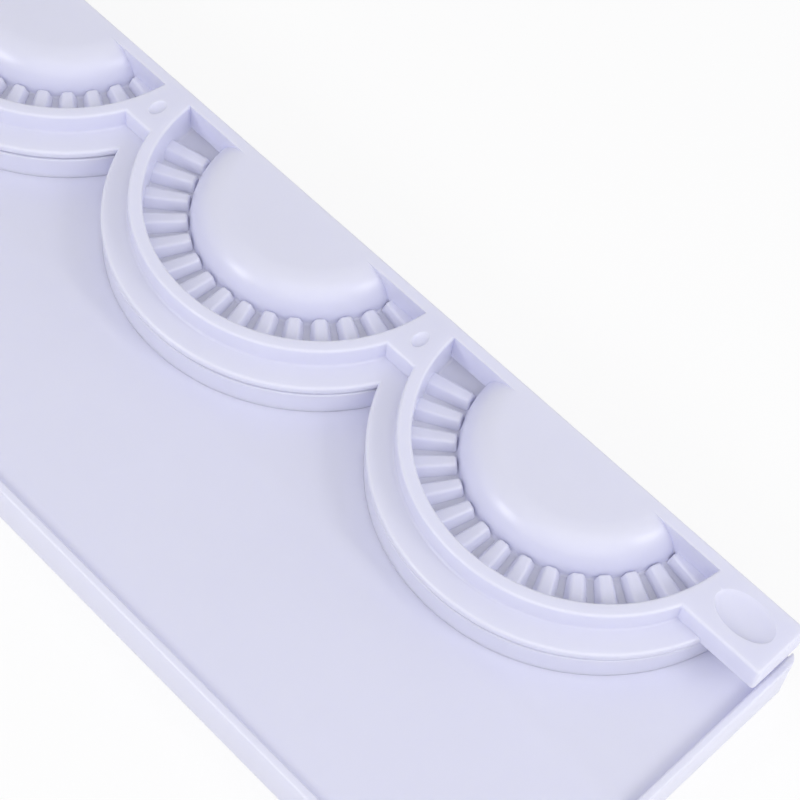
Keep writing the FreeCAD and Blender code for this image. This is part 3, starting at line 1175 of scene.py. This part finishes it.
@dataclass(frozen=True)
class Studio:
    """Camera, lamps, floor and white surroundings."""

    eye: Triple = (210.03 * MM, -153.10 * MM, 342.99 * MM)
    right: Triple = (0.69844, 0.71002, 0.08974)
    down: Triple = (0.62865, -0.54874, -0.55107)
    lens: float = 101.33
    nearest: float = 10 * MM
    middle: Triple = (0.09, 0.0, 0.01)
    lamp_distance: float = 1.0
    ambient: float = 0.52
    floor_size: float = 12.0
    floor_tint: Triple = (0.9, 0.9, 0.92)
    floor_roughness: float = 0.7
    floor_white: float = 0.85
    lamps: tuple[Softbox, ...] = (
        Softbox("above_camera", (0.44, -0.44, 0.79), 1.0, 3.1),
        Softbox("front_left", (-0.34, -0.78, 0.52), 0.25, 2.1),
        Softbox("right", (0.76, 0.20, 0.62), 0.3, 1.9),
        Softbox("back_right", (0.66, 0.66, 0.34), 0.5, 1.1),
    )

    def add_camera(self) -> None:
        """Set the camera where the photograph was taken from."""
        camera = bpy.data.objects.new("camera", bpy.data.cameras.new("camera"))
        camera.data.lens = self.lens
        camera.data.clip_start = self.nearest
        right, up = Vector(self.right).normalized(), -Vector(self.down).normalized()
        turn = Matrix((right, up, right.cross(up))).transposed()
        camera.matrix_world = Matrix.Translation(self.eye) @ turn.to_4x4()
        bpy.context.scene.collection.objects.link(camera)
        bpy.context.scene.camera = camera

    def add_lamps(self) -> None:
        """Hang the softboxes, each turned to the middle of the view."""
        for box in self.lamps:
            lamp = bpy.data.lights.new(box.name, "AREA")
            lamp.size = box.size
            lamp.energy = box.power
            obj = bpy.data.objects.new(box.name, lamp)
            direction = Vector(box.towards).normalized()
            obj.location = Vector(self.middle) + direction * self.lamp_distance
            obj.rotation_euler = direction.to_track_quat("Z", "Y").to_euler()
            bpy.context.scene.collection.objects.link(obj)

    def seen_rays(self, tree: bpy.types.NodeTree) -> bpy.types.NodeSocket:
        """Add a test that is 1 for rays that show the surroundings: direct, mirrored or passing through.

        Args:
            tree: the node tree of the floor or the world.

        Returns:
            The socket with the result, 0 or 1.
        """
        path = tree.nodes.new("ShaderNodeLightPath")
        seen = path.outputs["Is Camera Ray"]
        for kind in ("Is Glossy Ray", "Is Transmission Ray"):
            either = tree.nodes.new("ShaderNodeMath")
            either.operation = "MAXIMUM"
            tree.links.new(seen, either.inputs[0])
            tree.links.new(path.outputs[kind], either.inputs[1])
            seen = either.outputs["Value"]
        return seen

    def add_world(self) -> None:
        """Light evenly from all round, and show plain white to the camera and in reflections."""
        world = bpy.data.worlds.new("surroundings")
        world.use_nodes = True
        tree = world.node_tree
        plain = tree.nodes["Background"]
        plain.inputs["Color"].default_value = (1, 1, 1, 1)
        plain.inputs["Strength"].default_value = self.ambient
        white = tree.nodes.new("ShaderNodeBackground")
        white.inputs["Color"].default_value = (1, 1, 1, 1)
        choice = tree.nodes.new("ShaderNodeMixShader")
        tree.links.new(self.seen_rays(tree), choice.inputs["Fac"])
        tree.links.new(plain.outputs["Background"], choice.inputs[1])
        tree.links.new(white.outputs["Background"], choice.inputs[2])
        tree.links.new(choice.outputs["Shader"], tree.nodes["World Output"].inputs["Surface"])
        bpy.context.scene.world = world

    def add_floor(self) -> None:
        """Lay a wide floor that keeps a faint shadow and looks white."""
        bpy.ops.mesh.primitive_plane_add(size=self.floor_size, location=(0, 0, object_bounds()[0].z))
        floor = bpy.context.object
        floor.name = "floor"
        material = bpy.data.materials.new("pale_floor")
        material.use_nodes = True
        tree = material.node_tree
        matt = tree.nodes["Principled BSDF"]
        matt.inputs["Base Color"].default_value = (*self.floor_tint, 1)
        matt.inputs["Roughness"].default_value = self.floor_roughness
        white = tree.nodes.new("ShaderNodeEmission")
        white.inputs["Color"].default_value = (1, 1, 1, 1)
        share = tree.nodes.new("ShaderNodeMath")
        share.operation = "MULTIPLY"
        share.inputs[1].default_value = self.floor_white
        choice = tree.nodes.new("ShaderNodeMixShader")
        tree.links.new(self.seen_rays(tree), share.inputs[0])
        tree.links.new(share.outputs["Value"], choice.inputs["Fac"])
        tree.links.new(matt.outputs["BSDF"], choice.inputs[1])
        tree.links.new(white.outputs["Emission"], choice.inputs[2])
        tree.links.new(choice.outputs["Shader"], tree.nodes["Material Output"].inputs["Surface"])
        floor.data.materials.append(material)
        floor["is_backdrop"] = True

    def build(self) -> None:
        """Set up everything around the object."""
        self.add_camera()
        self.add_lamps()
        self.add_world()
        self.add_floor()
        bpy.context.scene.view_settings.view_transform = "Standard"


def main() -> None:
    """Build the press, dress it and light it."""
    logging.basicConfig(level=logging.INFO)
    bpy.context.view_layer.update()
    row, hinge = RowLayout.of_frame(), HingeSizes()
    plastic, steel = (Finish(kind.slot, kind.build()) for kind in (MouldedPlastic(), DrawnSteel()))
    for part in (UpperJaw(row, plastic, hinge), LowerJaw(row, plastic, hinge), Board(row, plastic),
                 HingePins(row, steel, hinge)):
        part.build()
    Studio().build()


if __name__ == "__main__":
    main()
